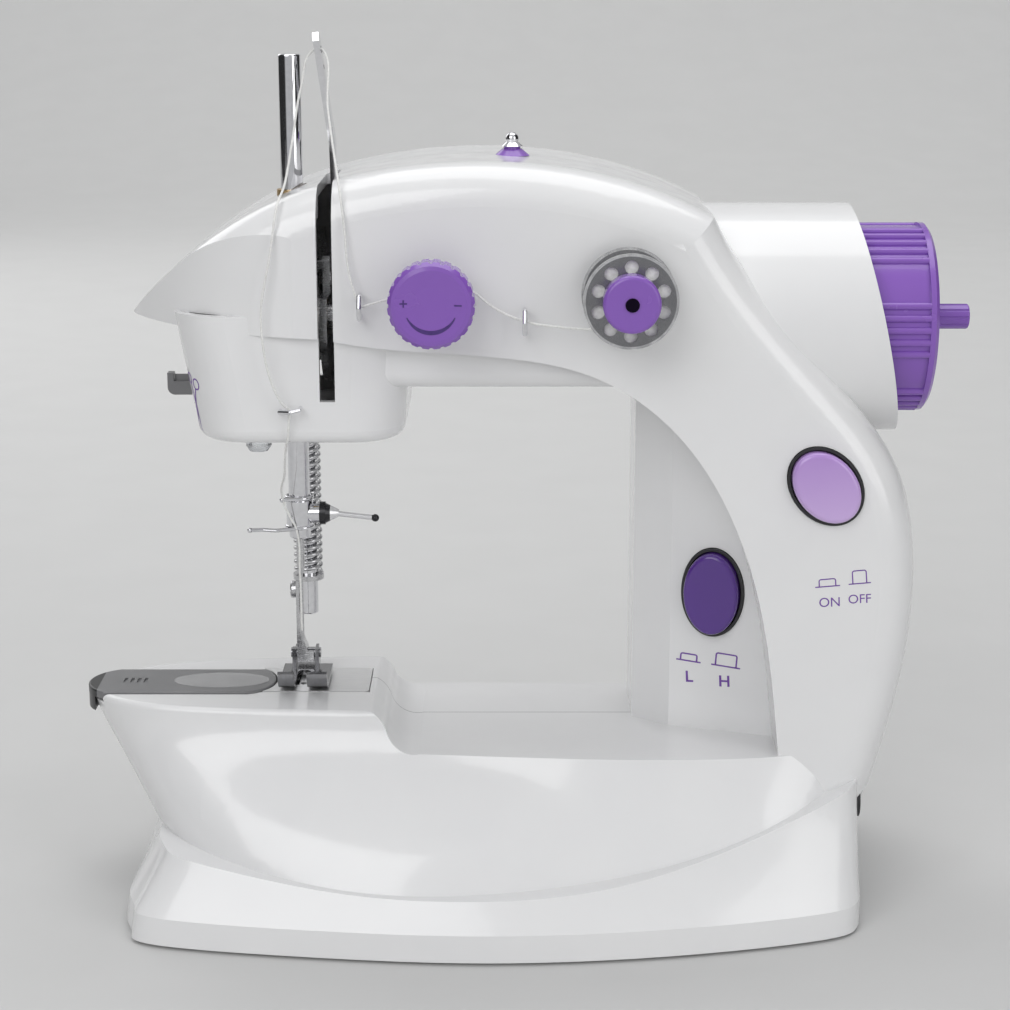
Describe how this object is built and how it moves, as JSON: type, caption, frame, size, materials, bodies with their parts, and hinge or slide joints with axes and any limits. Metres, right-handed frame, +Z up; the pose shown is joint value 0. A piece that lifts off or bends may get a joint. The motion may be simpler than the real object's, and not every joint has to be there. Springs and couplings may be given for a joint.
{
  "type": "sewing machine",
  "caption": "Compact electric sewing machine with a curved arm, needle bar, presser foot, take-up lever, hand wheel, thread bobbin, two push buttons and a flared base.",
  "frame": {"origin": "middle of the machine's footprint on the table, under the centre of its box", "axes": "+X towards the hand wheel, -Y towards the operator, +Z up"},
  "size_m": [0.2066, 0.1158, 0.2004],
  "materials": {
    "white_shell": "glossy white ABS",
    "dark_purple": "glossy deep purple ABS",
    "purple": "glossy purple ABS",
    "lavender": "glossy lavender ABS",
    "chrome": "bright chrome plate",
    "steel": "bright drawn steel",
    "dark_steel": "dark burnished steel",
    "brass": "sintered bronze",
    "black_plastic": "matt black plastic",
    "cover_grey": "satin dark grey plastic",
    "nylon": "natural nylon",
    "rubber_black": "moulded rubber",
    "board_green": "epoxy circuit board",
    "cell_jacket": "printed steel jacket",
    "thread_white": "spun polyester thread",
    "clear_lens": "clear polycarbonate"
  },
  "bodies": {
    "frame": {"front_shell": "white_shell", "rear_shell": "white_shell", "bottom_cover": "white_shell", "rubber_feet": "rubber_black", "case_screws": "steel", "batteries": "cell_jacket", "battery_tray": "black_plastic", "sockets": "black_plastic", "inner_brackets": "steel", "pivot_pins": "steel", "bushes": "brass", "timing_belt": "rubber_black", "motor": "steel", "lower_bearings": "nylon", "needle_plate": "steel", "bobbin_case": "dark_steel", "lower_bobbin": "steel", "tension_discs": "steel", "spool_pin": "steel", "thread_guides": "chrome", "winding_guide_base": "purple", "winding_guide": "chrome", "thread_cutter": "cover_grey", "lamp": "clear_lens", "button_rings": "black_plastic", "circuit_board": "board_green", "thread_supply": "thread_white", "thread_at_lever": "thread_white"},
    "needle_bar": {"needle_bar": "chrome", "needle_bar_yoke": "steel", "needle": "steel", "needle_clamp": "chrome", "thread_to_needle": "thread_white"},
    "clamp_screw": {"needle_clamp_screw": "dark_steel"},
    "presser_bar": {"presser_bar": "chrome", "presser_bar_collars": "steel", "foot_shank": "steel", "presser_spring": "steel"},
    "presser_foot": {"presser_foot": "dark_steel"},
    "presser_lifter": {"presser_lifter": "black_plastic"},
    "take_up_lever": {"take_up_lever": "chrome"},
    "main_shaft": {"main_shaft": "steel", "crank": "steel", "drive_gear": "nylon", "upper_pulley": "nylon", "hand_wheel": "purple"},
    "winder_spindle": {"winder_spindle": "purple"},
    "motor_rotor": {"motor_pinion": "brass"},
    "lower_shaft": {"lower_shaft": "steel", "lower_pulley": "nylon", "rotary_hook": "steel"},
    "feed_dog": {"feed_dog": "steel"},
    "bobbin_cover": {"bobbin_cover": "cover_grey"},
    "battery_door": {"battery_door": "white_shell"},
    "tension_knob": {"tension_knob": "purple"},
    "upper_bobbin": {"upper_bobbin": "steel", "upper_bobbin_thread": "thread_white"},
    "spool_cap": {"spool_cap": "purple"},
    "speed_button": {"speed_button": "dark_purple"},
    "power_button": {"power_button": "lavender"}
  },
  "joints": [
    {"name": "needle_bar_slide", "type": "slide", "parent": "frame", "child": "needle_bar", "axis": [0, 0, 1], "range_m": [-0.024, 0], "deforming": ["thread_to_needle"]},
    {"name": "main_shaft_turn", "type": "hinge", "parent": "frame", "child": "main_shaft", "pos_m": [0, 0, 0.1357], "axis": [1, 0, 0], "continuous": true},
    {"name": "motor_turn", "type": "hinge", "parent": "frame", "child": "motor_rotor", "pos_m": [0, 0, 0.1117], "axis": [1, 0, 0], "continuous": true},
    {"name": "lower_shaft_turn", "type": "hinge", "parent": "frame", "child": "lower_shaft", "pos_m": [0, -0.005, 0.033], "axis": [1, 0, 0], "continuous": true},
    {"name": "take_up_swing", "type": "hinge", "parent": "frame", "child": "take_up_lever", "pos_m": [-0.0427, 0.006, 0.143], "axis": [1, 0, 0], "range_deg": [0, 60], "deforming": ["thread_at_lever"]},
    {"name": "feed_slide", "type": "slide", "parent": "frame", "child": "feed_dog", "axis": [0, 1, 0], "range_m": [-0.003, 0]},
    {"name": "presser_lift", "type": "slide", "parent": "frame", "child": "presser_bar", "axis": [0, 0, 1], "range_m": [0, 0.005], "deforming": ["presser_spring"]},
    {"name": "lifter_swing", "type": "hinge", "parent": "frame", "child": "presser_lifter", "pos_m": [-0.051, 0.0215, 0.1248], "axis": [1, 0, 0], "range_deg": [-25, 0]},
    {"name": "foot_tilt", "type": "hinge", "parent": "presser_bar", "child": "presser_foot", "pos_m": [-0.052, 0.0046, 0.0527], "axis": [1, 0, 0], "range_deg": [-6, 1.5]},
    {"name": "winder_spindle_slide", "type": "slide", "parent": "main_shaft", "child": "winder_spindle", "axis": [1, 0, 0], "range_m": [-0.007, 0]},
    {"name": "clamp_screw_turn", "type": "hinge", "parent": "needle_bar", "child": "clamp_screw", "pos_m": [-0.0519, -0.005, 0.09], "axis": [1, 0, 0], "range_deg": [0, 180]},
    {"name": "bobbin_cover_slide", "type": "slide", "parent": "frame", "child": "bobbin_cover", "axis": [1, 0, 0], "range_m": [-0.04, 0]},
    {"name": "battery_door_lift", "type": "slide", "parent": "frame", "child": "battery_door", "axis": [0, 0, 1], "range_m": [-0.012, 0]},
    {"name": "tension_knob_turn", "type": "hinge", "parent": "frame", "child": "tension_knob", "pos_m": [-0.0194, -0.042, 0.145], "axis": [0, 1, 0], "range_deg": [-150, 150]},
    {"name": "upper_bobbin_spin", "type": "hinge", "parent": "frame", "child": "upper_bobbin", "pos_m": [0.0228, -0.039, 0.1459], "axis": [0, 1, 0], "continuous": true},
    {"name": "spool_cap_pull", "type": "slide", "parent": "frame", "child": "spool_cap", "axis": [0, -1, 0], "range_m": [0, 0.015]},
    {"name": "speed_button_push", "type": "slide", "parent": "frame", "child": "speed_button", "axis": [0.309, 0.9511, 0], "range_m": [0, 0.0025], "stiffness_N_per_m": 250, "springref_m": -0.001},
    {"name": "power_button_push", "type": "slide", "parent": "frame", "child": "power_button", "axis": [0, 1, 0], "range_m": [0, 0.0022], "stiffness_N_per_m": 250, "springref_m": -0.001}
  ],
  "couplings": [
    {"joint": "main_shaft_turn", "follows": "needle_bar_slide", "rad_per_m": -130.9},
    {"joint": "motor_turn", "follows": "needle_bar_slide", "rad_per_m": 581.78},
    {"joint": "lower_shaft_turn", "follows": "needle_bar_slide", "rad_per_m": -130.9},
    {"joint": "take_up_swing", "follows": "needle_bar_slide", "rad_per_m": -43.632},
    {"joint": "feed_slide", "follows": "needle_bar_slide", "ratio": 0.125},
    {"joint": "lifter_swing", "follows": "presser_lift", "rad_per_m": -87.264}
  ]
}
